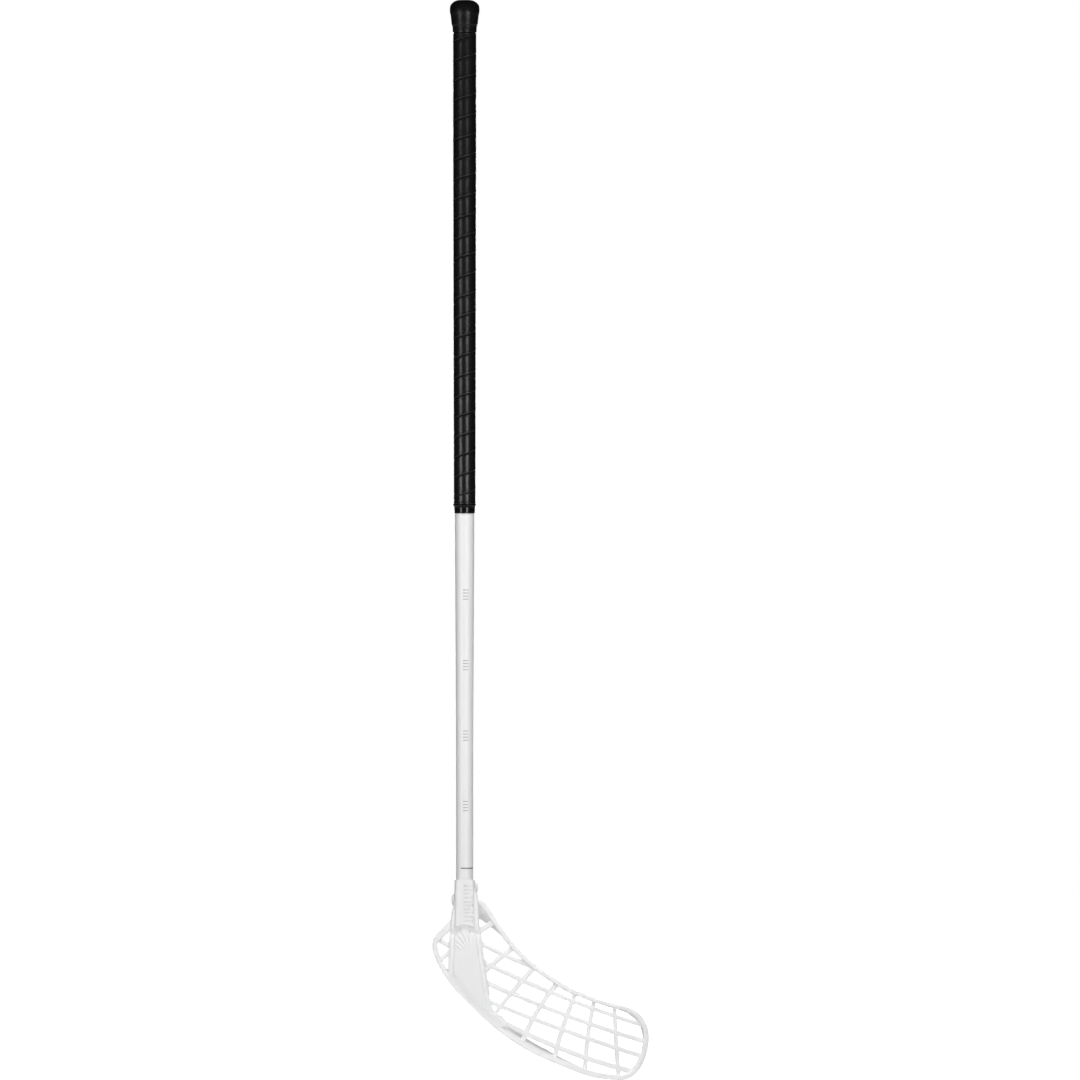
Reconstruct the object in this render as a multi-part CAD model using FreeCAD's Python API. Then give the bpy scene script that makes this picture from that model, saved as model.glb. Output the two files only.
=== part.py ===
import FreeCAD, Part
import math
import os

V = FreeCAD.Vector
CENTRE = V(0, 0, 0)
UP = V(0, 0, 1)
RIGHT = V(1, 0, 0)
BACK = V(0, 1, 0)

# Frame: the shaft's axis is Z with the butt up, the blade points to +X and its convex face to -Y.
# The origin lies on the axis, halfway along the grip. Lengths are millimetres, angles are degrees.

# Shaft: a tapered tube, straight under the hand and straight again at the blade
SHAFT_LENGTH = 960.0
BUTT_DIAMETER = 22.1
GRIP_END_DIAMETER = 20.5
LOWER_DIAMETER = 18.0
BUTT_STRAIGHT = 140.0
LOWER_STRAIGHT = 182.0
SHAFT_WALL = 1.4

# End cap: a flared knob with a skirt outside the tube and a hollow plug inside it
CAP_HEIGHT = 34.0
CAP_HEAD = 4.6
CAP_FLAT_RADIUS = 5.0
CAP_HEM_WALL = 1.35
CAP_STEP_FLARE = 0.3
CAP_STEP_HEIGHT = 6.0
CAP_WAIST_FLARE = 1.4
CAP_WAIST_HEIGHT = 10.0
CAP_THROAT_FLARE = 2.25
CAP_THROAT_DEPTH = 16.2
CAP_BULGE_FLARE = 3.1
CAP_BULGE_DEPTH = 9.5
CAP_SHOULDER_FLARE = 2.55
CAP_SHOULDER_DEPTH = 5.7
CAP_BROW_INSET = 0.5
CAP_BROW_DEPTH = 2.35
PLUG_LENGTH = 32.0
PLUG_WALL = 2.0
PLUG_CHAMFER = 1.0
CAP_CLEARANCE = 0.1

# Grip tape: one band wound upwards as a right-handed helix, cut off level at both ends of the grip
GRIP_LENGTH = 495.0
TAPE_WIDTH = 20.2
TAPE_GAP = 0.6
TAPE_THICKNESS = 1.1
TAPE_BEVEL = 0.5
TAPE_END_WIDTH = 3.0
TAPE_CLEARANCE = 0.1
TAPE_START_ANGLE = 80.0
TAPE_SPAN_POINTS = 9
TAPE_END_GAP = 0.3

# Collar: a lip under the tape and a thin sleeve down the shaft
COLLAR_LENGTH = 10.0
COLLAR_LIP_HEIGHT = 2.4
COLLAR_LIP_PROUD = 0.8
COLLAR_WALL = 0.55
COLLAR_CLEARANCE = 0.05

# Blade neck: a socket round the lower end of the shaft, with two screw bosses and a ladder of ridges
SOCKET_DEPTH = 41.0
SOCKET_FLOOR = 10.2
SOCKET_CLEARANCE = 0.05
NECK_TOP_WALL = 1.4
NECK_FOOT_WALL = 2.1
NECK_ARCH_HEIGHT = 4.4
WING_DEPTH = 13.0
LADDER_PITCH = 4.1
LADDER_TOP = 5.2
LADDER_HEIGHT = 1.9
LADDER_PROUD = 0.7
LADDER_ANGLE = 50.0
LADDER_TURN = 20.0

# Screws: pan heads sunk in the bosses, shanks through the neck into the tube
BOSS_WALL = 1.2
BOSS_PROUD = 2.9
RIGHT_BOSS_DROP = 8.4
LEFT_BOSS_DROP = 21.5
SCREW_LENGTH = 6.0
SCREW_DIAMETER = 3.0
SCREW_POINT = 0.9
SCREW_HEAD_DIAMETER = 6.0
SCREW_HEAD_HEIGHT = 2.0
SCREW_HEAD_ROUND = 0.8
SCREW_CLEARANCE = 0.08
HEAD_CLEARANCE = 0.3
RECESS_WIDTH = 0.9
RECESS_SPAN = 3.4
RECESS_DEPTH = 1.2

# Blade net: a deep rim and two families of ribs on a sheet that hooks away to +Y towards the tip
RIM_WIDTH = 4.4
RIM_DEPTH = 10.0
LONG_RIB_WIDTH = 3.7
CROSS_RIB_WIDTH = 3.6
RIB_DEPTH = 4.6
BLADE_SLOPE = 25.0
HOOK_START = 68.0
HOOK_RADIUS = 420.0
RIM_SPAN_POINTS = 8

# Tongue: a thick wedge between the neck and the lower rim
TONGUE_TOP_DEPTH = 8.6
TONGUE_FOOT_DEPTH = 5.8

# Outlines of the blade seen from the front, as (x, drop below the shaft's lower end)
RIM_OUTLINE = [
    (14.8, -19.7),
    (19.7, -18.4),
    (23.5, -14.6),
    (32.9, 0.2),
    (42.2, 14.9),
    (75.5, 50.0),
    (94.6, 63.4),
    (114.5, 74.8),
    (136.2, 83.1),
    (157.7, 89.8),
    (181.0, 98.0),
    (193.6, 118.8),
    (193.3, 134.0),
    (189.2, 150.0),
    (172.4, 169.3),
    (152.6, 170.0),
    (133.0, 167.0),
    (108.2, 157.9),
    (83.4, 147.8),
    (38.0, 120.7),
    (-2.5, 83.1),
    (-14.3, 69.3),
    (-24.5, 53.8),
    (-31.1, 40.1),
    (-33.7, 26.0),
    (-29.3, 14.9),
    (-20.6, 7.6),
    (-10.9, 1.5),
    (0.0, -11.0),
]
LONG_RIBS = [
    ((13.6, 24.2), (41.0, 37.6), (74.4, 51.6)),
    ((14.0, 42.5), (91.5, 77.8), (188.0, 113.2)),
    ((14.0, 63.0), (79.2, 91.0), (194.5, 131.8)),
    ((14.0, 82.3), (101.7, 116.3), (190.4, 147.1)),
    ((29.8, 103.0), (97.8, 135.4), (179.2, 162.7)),
]
CROSS_RIBS = [
    ((35.5, 0.2), (21.5, 8.8), (11.5, 15.2)),
    ((53.8, 28.7), (40.9, 38.0), (19.0, 57.3)),
    ((74.3, 49.9), (49.5, 77.8), (30.0, 102.0)),
    ((98.3, 67.1), (80.5, 90.9), (59.7, 131.3)),
    ((117.8, 76.7), (107.9, 101.8), (94.4, 147.3)),
    ((136.9, 84.1), (132.0, 110.5), (126.9, 161.0)),
    ((157.7, 90.0), (159.1, 120.5), (162.4, 165.0)),
    ((-30.6, 20.2), (-21.6, 25.2), (-12.6, 30.6)),
    ((-27.3, 44.0), (-20.3, 38.5), (-13.3, 32.6)),
]
WING_OUTLINE = [(-9.0, -33.0), (-12.6, -14.0), (-14.0, -6.5), (-15.2, 6.5), (15.8, 6.5),
                (15.2, 0.0), (14.6, -14.0), (13.6, -23.0), (12.2, -28.5), (9.5, -34.0)]
TONGUE_WAIST = [(-15.2, 5.0), (-18.5, 57.5), (-1.0, 81.0), (32.0, 108.8),
                (34.0, 105.0), (27.0, 87.0), (21.5, 51.0), (15.8, 5.0)]
TONGUE_PANEL = [(-9.8, 4.0), (-13.5, 55.0), (-1.0, 75.0), (26.0, 101.0),
                (28.0, 98.0), (22.0, 85.0), (16.6, 51.0), (11.2, 4.0)]

# Levels on the axis
GRIP_TOP = GRIP_LENGTH / 2
GRIP_BOTTOM = -GRIP_LENGTH / 2
CAP_TOP = GRIP_TOP + CAP_HEIGHT
SHAFT_TOP = CAP_TOP - CAP_HEAD
SHAFT_BOTTOM = SHAFT_TOP - SHAFT_LENGTH
COLLAR_BOTTOM = GRIP_BOTTOM - COLLAR_LENGTH
NECK_TOP = SHAFT_BOTTOM + SOCKET_DEPTH
NECK_LENGTH = SOCKET_DEPTH + SOCKET_FLOOR

SHAFT_PROFILE = [
    (SHAFT_TOP, BUTT_DIAMETER / 2),
    (SHAFT_TOP - BUTT_STRAIGHT, BUTT_DIAMETER / 2),
    (COLLAR_BOTTOM, GRIP_END_DIAMETER / 2),
    (SHAFT_BOTTOM + LOWER_STRAIGHT, LOWER_DIAMETER / 2),
    (SHAFT_BOTTOM, LOWER_DIAMETER / 2),
]


def shaft_radius(z):
    """Outside radius of the tube at a level, straight between the levels of its profile."""
    for (upper, upper_radius), (lower, lower_radius) in zip(SHAFT_PROFILE, SHAFT_PROFILE[1:]):
        if z >= lower:
            share = (upper - min(z, upper)) / (upper - lower)
            return upper_radius + share * (lower_radius - upper_radius)
    return LOWER_DIAMETER / 2


def turned(edges):
    """Solid of revolution about the axis, from edges that close a profile in the XZ plane."""
    return Part.Face(Part.Wire(edges)).revolve(CENTRE, UP, 360)


def lines(points):
    """Straight edges from each (radius, level) point to the next."""
    corners = [V(radius, 0, z) for radius, z in points]
    return [Part.LineSegment(a, b).toShape() for a, b in zip(corners, corners[1:])]


def arc(*points):
    """Arc edge through three (radius, level) points."""
    return Part.Arc(*[V(radius, 0, z) for radius, z in points]).toShape()


def screw_axes():
    """Each screw's name, its level and the way it points out of the neck."""
    yield "right_blade_screw", NECK_TOP - RIGHT_BOSS_DROP, RIGHT
    yield "left_blade_screw", NECK_TOP - LEFT_BOSS_DROP, RIGHT * -1


def neck_radius(drop):
    """Outside radius of the socket at a drop below its top edge."""
    wall = NECK_TOP_WALL + (NECK_FOOT_WALL - NECK_TOP_WALL) * drop / NECK_LENGTH
    return LOWER_DIAMETER / 2 + SOCKET_CLEARANCE + wall


def boss_face():
    """Distance of both boss faces from the axis."""
    return neck_radius(LEFT_BOSS_DROP) + BOSS_PROUD


def boss_radius():
    """Radius of a boss: its wall round the head's counterbore."""
    return SCREW_HEAD_DIAMETER / 2 + HEAD_CLEARANCE + BOSS_WALL


def screw_hole(z, way):
    """Cutter for a screw: the shank's hole with the head's counterbore."""
    seat = boss_face() - SCREW_HEAD_HEIGHT
    shank = Part.makeCylinder(SCREW_DIAMETER / 2 + SCREW_CLEARANCE, boss_face(), V(0, 0, z), way)
    head_radius = SCREW_HEAD_DIAMETER / 2 + HEAD_CLEARANCE
    head = Part.makeCylinder(head_radius, SCREW_HEAD_HEIGHT + BOSS_PROUD, V(0, 0, z) + way * seat, way)
    return shank.fuse(head)


def shaft():
    """Tapered tube with one wall all along and a drilled hole for each screw."""
    outside = [(radius, z) for z, radius in SHAFT_PROFILE]
    inside = [(radius - SHAFT_WALL, z) for radius, z in reversed(outside)]
    tube = turned(lines(outside + inside + outside[:1]))
    for name, z, way in screw_axes():
        tube = tube.cut(screw_hole(z, way))
    return tube


def end_cap():
    """Knob, skirt and hollow plug, turned as one piece."""
    skirt = BUTT_DIAMETER / 2 + CAP_CLEARANCE
    plug = BUTT_DIAMETER / 2 - SHAFT_WALL - CAP_CLEARANCE
    seat = SHAFT_TOP + CAP_CLEARANCE
    foot = SHAFT_TOP - PLUG_LENGTH
    hem = skirt + CAP_HEM_WALL
    flat = (CAP_FLAT_RADIUS, CAP_TOP)
    brow = (hem - CAP_BROW_INSET, CAP_TOP - CAP_BROW_DEPTH)
    shoulder = (hem + CAP_SHOULDER_FLARE, CAP_TOP - CAP_SHOULDER_DEPTH)
    bulge = (hem + CAP_BULGE_FLARE, CAP_TOP - CAP_BULGE_DEPTH)
    throat = (hem + CAP_THROAT_FLARE, CAP_TOP - CAP_THROAT_DEPTH)
    edges = lines([(0, CAP_TOP), flat])
    edges.append(arc(flat, brow, shoulder))
    edges.append(arc(shoulder, bulge, throat))
    edges += lines([
        throat,
        (hem + CAP_WAIST_FLARE, GRIP_TOP + CAP_WAIST_HEIGHT),
        (hem + CAP_STEP_FLARE, GRIP_TOP + CAP_STEP_HEIGHT),
        (hem, GRIP_TOP),
        (skirt, GRIP_TOP),
        (skirt, seat),
        (plug, seat),
        (plug, foot + PLUG_CHAMFER),
        (plug - PLUG_CHAMFER, foot),
        (plug - PLUG_WALL, foot),
        (plug - PLUG_WALL, seat),
        (0, seat),
        (0, CAP_TOP),
    ])
    return turned(edges)


def tape_edges(turn):
    """Lower and upper edge level of the tape after some turns, cut off at the ends of the grip."""
    rise = (TAPE_WIDTH + TAPE_GAP) * turn
    bottom = GRIP_BOTTOM + TAPE_END_GAP
    top = GRIP_TOP - TAPE_END_GAP
    return max(bottom, bottom + rise), min(top, bottom + rise + TAPE_WIDTH)


def tape_corners(turn):
    """Section of the tape as inner-lower, outer-lower, outer-upper and inner-upper corner."""
    angle = math.radians(TAPE_START_ANGLE) + 2 * math.pi * turn
    low, high = tape_edges(turn)
    corners = []
    for z, height in (
        (low, 0),
        (low + TAPE_BEVEL, TAPE_THICKNESS),
        (high - TAPE_BEVEL, TAPE_THICKNESS),
        (high, 0),
    ):
        radius = shaft_radius(z) + TAPE_CLEARANCE + height
        corners.append(V(radius * math.cos(angle), radius * math.sin(angle), z))
    return corners


def tape_spans():
    """Turns at which the spans of at most half a turn begin and end."""
    pitch = TAPE_WIDTH + TAPE_GAP
    length = GRIP_LENGTH - 2 * TAPE_END_GAP
    stops = [
        -(TAPE_WIDTH - TAPE_END_WIDTH) / pitch,
        0,
        (length - TAPE_WIDTH) / pitch,
        (length - TAPE_END_WIDTH) / pitch,
    ]
    marks = stops[:1]
    for start, stop in zip(stops, stops[1:]):
        count = math.ceil((stop - start) * 2)
        marks += [start + (stop - start) * (i + 1) / count for i in range(count)]
    return marks


def corner_curve(start, stop, corner):
    """Curve that one corner of the section follows from one turn to another."""
    last = TAPE_SPAN_POINTS - 1
    step = (stop - start) / last
    points = [tape_corners(start + step * i)[corner] for i in range(TAPE_SPAN_POINTS)]
    curve = Part.BSplineCurve()
    curve.interpolate(points)
    return curve.toShape()


def grip_tape():
    """One unbroken band: ruled faces between the four corner curves of each span, closed at both ends."""
    marks = tape_spans()
    faces = []
    for start, stop in zip(marks, marks[1:]):
        curves = [corner_curve(start, stop, corner) for corner in range(4)]
        faces += [Part.makeRuledSurface(curves[i], curves[(i + 1) % 4]) for i in range(4)]
    for turn in (marks[0], marks[-1]):
        corners = tape_corners(turn)
        faces.append(Part.Face(Part.makePolygon(corners + corners[:1])))
    shell = Part.Shell(Part.makeCompound(faces).Faces)
    shell.sewShape()
    band = Part.Solid(shell)
    if band.Volume < 0:
        band.reverse()
    print("grip tape: turns", round(marks[-1] - marks[0], 2))
    print("grip tape: least gap to itself", round(tape_self_gap(), 3))
    return band


def tape_self_gap():
    """Least distance, on points, from the upper edge of a turn to the lower edge of the next."""
    marks = tape_spans()
    per_turn = 48
    spread = 4
    count = int((marks[-1] - marks[0]) * per_turn)
    sections = [tape_corners(marks[0] + i / per_turn) for i in range(count)]
    near = range(per_turn - spread, per_turn + spread + 1)
    return min(
        sections[i][3].distanceToPoint(sections[i + j][0])
        for i in range(count)
        for j in near
        if i + j < count
    )


def grip_collar():
    """Rounded lip under the tape and a thin tapered sleeve below it."""
    top = GRIP_BOTTOM
    neck = top - COLLAR_LIP_HEIGHT
    upper_bore = shaft_radius(top) + COLLAR_CLEARANCE
    lower_bore = shaft_radius(COLLAR_BOTTOM) + COLLAR_CLEARANCE
    sleeve = upper_bore + COLLAR_WALL
    lip = shaft_radius(top) + TAPE_CLEARANCE + TAPE_THICKNESS + COLLAR_LIP_PROUD
    lip_start = lip - COLLAR_LIP_HEIGHT / 2
    edges = lines([
        (sleeve, neck),
        (lower_bore + COLLAR_WALL, COLLAR_BOTTOM),
        (lower_bore, COLLAR_BOTTOM),
        (upper_bore, top),
        (lip_start, top),
    ])
    edges.append(arc((lip_start, top), (lip, (top + neck) / 2), (lip_start, neck)))
    edges += lines([(lip_start, neck), (sleeve, neck)])
    return turned(edges)


def blade_point(point, y=0.0):
    """Place of an (x, drop) outline point."""
    x, drop = point
    return V(x, y, SHAFT_BOTTOM - drop)


def polygon(points, levels):
    """Closed wire through outline points, with the distance to the front or back of each."""
    corners = [blade_point(point, y) for point, y in zip(points, levels)]
    return Part.makePolygon(corners + corners[:1])


def closed_curve(points):
    """Smooth closed curve through points."""
    curve = Part.BSplineCurve()
    curve.interpolate(points, PeriodicFlag=True)
    return curve


def rim_wire(inset):
    """Outline of the blade moved inwards, as a few open spans so that every wall is a face of its own."""
    outline = closed_curve([blade_point(point) for point in RIM_OUTLINE])
    knots = outline.getKnots()
    middles = [(a + b) / 2 for a, b in zip(knots, knots[1:])]
    stations = sorted(knots[:-1] + middles)
    points = [outline.value(u) + BACK.cross(outline.tangent(u)[0]) * inset for u in stations]
    curve = closed_curve(points)
    knots = curve.getKnots()
    marks = knots[:-1:RIM_SPAN_POINTS] + knots[-1:]
    return Part.Wire([curve.toShape(a, b) for a, b in zip(marks, marks[1:])])


def blade_reach():
    """A length that is greater than the blade's any way."""
    return 2 * max(abs(size) for point in RIM_OUTLINE for size in point)


def through(face):
    """A flat face carried through the whole depth of the blade."""
    return face.translated(BACK * -blade_reach() / 2).extrude(BACK * blade_reach())


def sheet(depth):
    """The curved layer that the net lies in: flat at the heel, then an arc that hooks back to the tip."""
    slope = math.radians(BLADE_SLOPE)
    along = V(math.cos(slope), 0, -math.sin(slope))
    across = V(math.sin(slope), 0, math.cos(slope))
    reach = blade_reach()
    hub = V(0, HOOK_RADIUS, SHAFT_BOTTOM) + along * HOOK_START - across * reach / 2

    def side(radius):
        """Places on a face of the layer at the heel, at the hook's start and along its quarter circle."""
        points = [hub - BACK * radius - along * reach]
        for turn in (0, math.pi / 4, math.pi / 2):
            points.append(hub + along * radius * math.sin(turn) - BACK * radius * math.cos(turn))
        return points

    front = side(HOOK_RADIUS + depth / 2)
    back = side(HOOK_RADIUS - depth / 2)
    edges = [
        Part.LineSegment(front[0], front[1]),
        Part.Arc(*front[1:]),
        Part.LineSegment(front[3], back[3]),
        Part.Arc(*back[1:]),
        Part.LineSegment(back[0], back[1]),
        Part.LineSegment(back[0], front[0]),
    ]
    outline = Part.Wire(Part.sortEdges([edge.toShape() for edge in edges])[0])
    return Part.Face(outline).extrude(across * reach)


def strip(rib, width):
    """Flat face of constant width along the arc through three outline points."""
    points = [blade_point(point) for point in rib]
    curve = Part.Arc(*points).toShape().Curve
    hub = curve.Center

    def side(shift):
        """The three points moved away from the arc's centre."""
        return [hub + (point - hub) * ((curve.Radius + shift) / curve.Radius) for point in points]

    outer = side(width / 2)
    inner = side(-width / 2)
    edges = [
        Part.Arc(*outer).toShape(),
        Part.LineSegment(outer[2], inner[2]).toShape(),
        Part.Arc(*inner).toShape(),
        Part.LineSegment(inner[0], outer[0]).toShape(),
    ]
    return Part.Face(Part.Wire(Part.sortEdges(edges)[0]))


def net():
    """Deep rim and shallower ribs, cut from the curved layer."""
    ring = Part.Face(rim_wire(0)).cut(Part.Face(rim_wire(RIM_WIDTH)))
    rim = through(ring.Faces[0]).common(sheet(RIM_DEPTH))
    strips = [strip(rib, LONG_RIB_WIDTH) for rib in LONG_RIBS]
    strips += [strip(rib, CROSS_RIB_WIDTH) for rib in CROSS_RIBS]
    pattern = strips[0].multiFuse(strips[1:]).removeSplitter()
    pattern = pattern.common(Part.Face(rim_wire(RIM_WIDTH / 2)))
    layer = sheet(RIB_DEPTH)
    ribs = [through(face).common(layer) for face in pattern.Faces]
    return [rim] + ribs


def tongue():
    """Wedge with a narrow panel in front and behind and bevelled flanks between them."""
    drops = [drop for x, drop in TONGUE_PANEL]
    fall = (TONGUE_TOP_DEPTH - TONGUE_FOOT_DEPTH) / (max(drops) - min(drops))
    depths = [TONGUE_TOP_DEPTH - fall * (drop - min(drops)) for drop in drops]
    return Part.makeLoft([
        polygon(TONGUE_PANEL, [-depth for depth in depths]),
        polygon(TONGUE_WAIST, [0] * len(TONGUE_WAIST)),
        polygon(TONGUE_PANEL, depths),
    ], True, True)


def neck():
    """Conical socket with an arched foot, side wings, screw bosses and a ladder of ridges in front."""
    foot = NECK_TOP - NECK_LENGTH
    body = Part.makeCone(neck_radius(NECK_LENGTH), neck_radius(0), NECK_LENGTH, V(0, 0, foot), UP)
    half = neck_radius(NECK_LENGTH)
    arch_radius = (half ** 2 + NECK_ARCH_HEIGHT ** 2) / (2 * NECK_ARCH_HEIGHT)
    arch_centre = V(0, -half, foot + NECK_ARCH_HEIGHT - arch_radius)
    body = body.cut(Part.makeCylinder(arch_radius, 2 * half, arch_centre, BACK))
    wing = Part.Face(polygon(WING_OUTLINE, [-WING_DEPTH / 2] * len(WING_OUTLINE)))
    pieces = [wing.extrude(BACK * WING_DEPTH)]
    for name, z, way in screw_axes():
        pieces.append(Part.makeCylinder(boss_radius(), boss_face(), V(0, 0, z), way))
    for step in range(int((NECK_LENGTH - LADDER_TOP - LADDER_HEIGHT) / LADDER_PITCH)):
        pieces.append(ladder_ridge(LADDER_TOP + LADDER_PITCH * step))
    return [body] + pieces


def ladder_ridge(drop):
    """Short ridge round the front of the neck, centred a little towards the blade."""
    outside = neck_radius(drop) + LADDER_PROUD
    inside = LOWER_DIAMETER / 2 + SOCKET_CLEARANCE
    top = NECK_TOP - drop
    low = top - LADDER_HEIGHT
    ring = lines([(inside, top), (outside, top), (outside, low), (inside, low), (inside, top)])
    ridge = Part.Face(Part.Wire(ring)).revolve(CENTRE, UP, LADDER_ANGLE)
    ridge.rotate(CENTRE, UP, LADDER_TURN - 90 - LADDER_ANGLE / 2)
    return ridge


def blade():
    """One moulding: neck, tongue, rim and ribs, with the socket and the screw holes cut into it."""
    pieces = neck() + [tongue()] + net()
    body = pieces[0].multiFuse(pieces[1:])
    floor = SHAFT_BOTTOM - SOCKET_CLEARANCE
    socket = LOWER_DIAMETER / 2 + SOCKET_CLEARANCE
    body = body.cut(Part.makeCylinder(socket, 2 * NECK_LENGTH, V(0, 0, floor), UP))
    for name, z, way in screw_axes():
        body = body.cut(screw_hole(z, way))
    return body.removeSplitter()


def screw(z, way):
    """Pan-head screw with a cross recess, pointing into the tube."""
    seat = boss_face() - SCREW_HEAD_HEIGHT
    head = Part.makeCylinder(SCREW_HEAD_DIAMETER / 2, SCREW_HEAD_HEIGHT, V(0, 0, z) + way * seat, way)
    head = head.makeFillet(SCREW_HEAD_ROUND, [edge_at(head, boss_face())])
    shank = Part.makeCylinder(SCREW_DIAMETER / 2, SCREW_LENGTH, V(0, 0, z) + way * seat, way * -1)
    shank = shank.makeChamfer(SCREW_POINT, [edge_at(shank, seat - SCREW_LENGTH)])
    body = head.fuse(shank).removeSplitter()
    for width, height in ((RECESS_WIDTH, RECESS_SPAN), (RECESS_SPAN, RECESS_WIDTH)):
        slot = Part.makeBox(2 * RECESS_DEPTH, width, height, V(-RECESS_DEPTH, -width / 2, -height / 2))
        body = body.cut(slot.translated(V(0, 0, z) + way * boss_face()))
    return body


def edge_at(solid, distance):
    """The circular edge of a screw blank that lies at a distance from the shaft's axis."""
    rings = [edge for edge in solid.Edges if len(edge.Vertexes) == 1]
    return min(rings, key=lambda edge: abs(abs(edge.CenterOfMass.x) - distance))


def main():
    """Write one file for each piece."""
    os.makedirs("parts", exist_ok=True)
    pieces = {
        "shaft": shaft(),
        "end_cap": end_cap(),
        "grip_tape": grip_tape(),
        "grip_collar": grip_collar(),
        "blade": blade(),
    }
    for name, z, way in screw_axes():
        pieces[name] = screw(z, way)
    for name, shape in pieces.items():
        print(name, len(shape.Solids), shape.isValid(), round(shape.Volume))
        shape.Solids[0].exportStep("parts/" + name + ".step")


main()
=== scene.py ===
import math

import bmesh
import bpy
import numpy as np
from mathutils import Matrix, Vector


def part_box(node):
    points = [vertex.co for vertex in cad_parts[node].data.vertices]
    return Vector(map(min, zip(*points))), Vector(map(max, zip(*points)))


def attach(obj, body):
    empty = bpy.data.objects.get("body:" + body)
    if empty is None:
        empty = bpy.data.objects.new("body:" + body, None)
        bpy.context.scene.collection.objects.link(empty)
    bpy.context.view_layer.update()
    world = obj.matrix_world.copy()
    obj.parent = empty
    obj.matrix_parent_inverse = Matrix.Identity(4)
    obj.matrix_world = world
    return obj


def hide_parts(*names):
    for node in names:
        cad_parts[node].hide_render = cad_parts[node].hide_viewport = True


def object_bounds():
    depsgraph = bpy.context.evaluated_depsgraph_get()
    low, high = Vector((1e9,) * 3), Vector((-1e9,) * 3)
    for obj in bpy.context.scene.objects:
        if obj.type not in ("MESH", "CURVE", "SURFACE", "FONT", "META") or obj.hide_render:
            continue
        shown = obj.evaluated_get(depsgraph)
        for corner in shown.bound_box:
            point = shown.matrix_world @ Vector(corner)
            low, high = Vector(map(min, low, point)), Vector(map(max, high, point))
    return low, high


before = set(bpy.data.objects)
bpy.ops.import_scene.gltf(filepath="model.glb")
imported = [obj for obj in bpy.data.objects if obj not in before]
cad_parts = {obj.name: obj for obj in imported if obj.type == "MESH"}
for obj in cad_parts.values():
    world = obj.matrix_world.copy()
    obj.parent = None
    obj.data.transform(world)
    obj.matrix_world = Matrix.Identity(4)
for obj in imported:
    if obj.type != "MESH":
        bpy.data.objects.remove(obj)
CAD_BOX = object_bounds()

# Shapes are worked out in millimetres in the CAD frame: Z up the shaft to the butt, X the way the
# blade points, -Y towards the camera. Meshes are written in metres.
MM = 0.001

# Points closer than this, in metres, are merged
SAME_POINT = 1e-7


def level(node, end):
    """Lowest (0) or highest (1) level of a CAD node, in millimetres."""
    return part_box(node)[end].z / MM


# Shaft
SHAFT_TOP = level("shaft", 1)
SHAFT_FOOT = level("shaft", 0)
LOWER_STRAIGHT = 182.0
BUTT_STRAIGHT = 140.0
COLLAR_FOOT = level("grip_collar", 0)
SHAFT_LEVELS = [SHAFT_FOOT, SHAFT_FOOT + LOWER_STRAIGHT, COLLAR_FOOT, SHAFT_TOP - BUTT_STRAIGHT, SHAFT_TOP]
SHAFT_RADII = [9.0, 9.0, 10.25, 11.05, 11.05]
SHAFT_WALL = 1.4
SHAFT_EDGE = 0.3
TURN_STEPS = 128
FIT_GAP = 0.08

# Grip tape: both edges of its section as shifts along the shaft and heights over it, and the shares of its
# width where its face has points. The pitch of its lines, its middle and its seam, along which shade is
# painted, are distances across it.
TAPE_LOW = level("grip_tape", 0)
TAPE_HIGH = level("grip_tape", 1)
TAPE_PITCH = 20.8
TAPE_WIDTH = 20.7
TAPE_END_WIDTH = 0.6
TAPE_FULL_EDGE = 8.0
TAPE_START_ANGLE = math.radians(80)
TAPE_CLEARANCE = 0.1
TAPE_UNDERSIDE = 0.02
TAPE_THICKNESS = 1.0
TAPE_CROWN = 0.03
TAPE_STEPS = 80
TAPE_LINE_PITCH = 0.9
TAPE_MIDDLE = 10.1
TAPE_SEAM = (9.3, 10.2)
TAPE_FACE = np.linspace(0.15, 0.85, 12)
TAPE_EDGE = np.array([
    (0.40, 0.02), (0.32, 0.30), (0.32, 0.62), (-0.10, 0.66), (-0.50, 0.70),
    (-0.62, 0.82), (-0.50, 0.98), (-0.10, 1.10), (0.50, 1.13), (1.40, 1.08),
])
TAPE_TUCK = np.array([
    (-2.4, 0.98), (-1.6, 0.95), (-1.20, 0.86), (-0.98, 0.68), (-0.80, 0.57),
    (-0.12, 0.54), (0.0, 0.42), (0.0, 0.20), (-0.10, 0.02),
])

# Knob: radius and level under its top along the dome, the bulge and the flare
KNOB_TOP = level("end_cap", 1)
KNOB_DOME = ((5.0, 0.0), (12.0, -2.35), (15.05, -5.7))
KNOB_BULGE = ((15.05, -5.7), (15.6, -9.5), (14.75, -16.2))
KNOB_FLARE = np.array([
    (14.25, -20.4), (13.95, -23.6), (13.72, -25.6), (13.3, -26.7), (12.9, -27.5), (12.72, -29.0),
])
KNOB_EDGE = 0.4
SKIRT_RADIUS = 11.15
SKIRT_LIP = 12.5
SEAT_GAP = 0.1
PLUG_RADIUS = 9.55
PLUG_WALL = 2.0
PLUG_CHAMFER = 1.2
PLUG_FOOT = level("end_cap", 0)

# Collar: the sleeve as radius and distance under the lip
COLLAR_TOP = TAPE_LOW - FIT_GAP
COLLAR_CLEARANCE = 0.05
COLLAR_EDGE = 0.2
LIP_RADIUS = 12.3
LIP_HEIGHT = 2.4
LIP_TOP_RADIUS = 11.4
LIP_FOOT_RADIUS = 11.7
SLEEVE = ((11.3, 0.8), (11.06, 1.6), (10.96, 2.6))
SLEEVE_FOOT_RADIUS = 10.85

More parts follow.
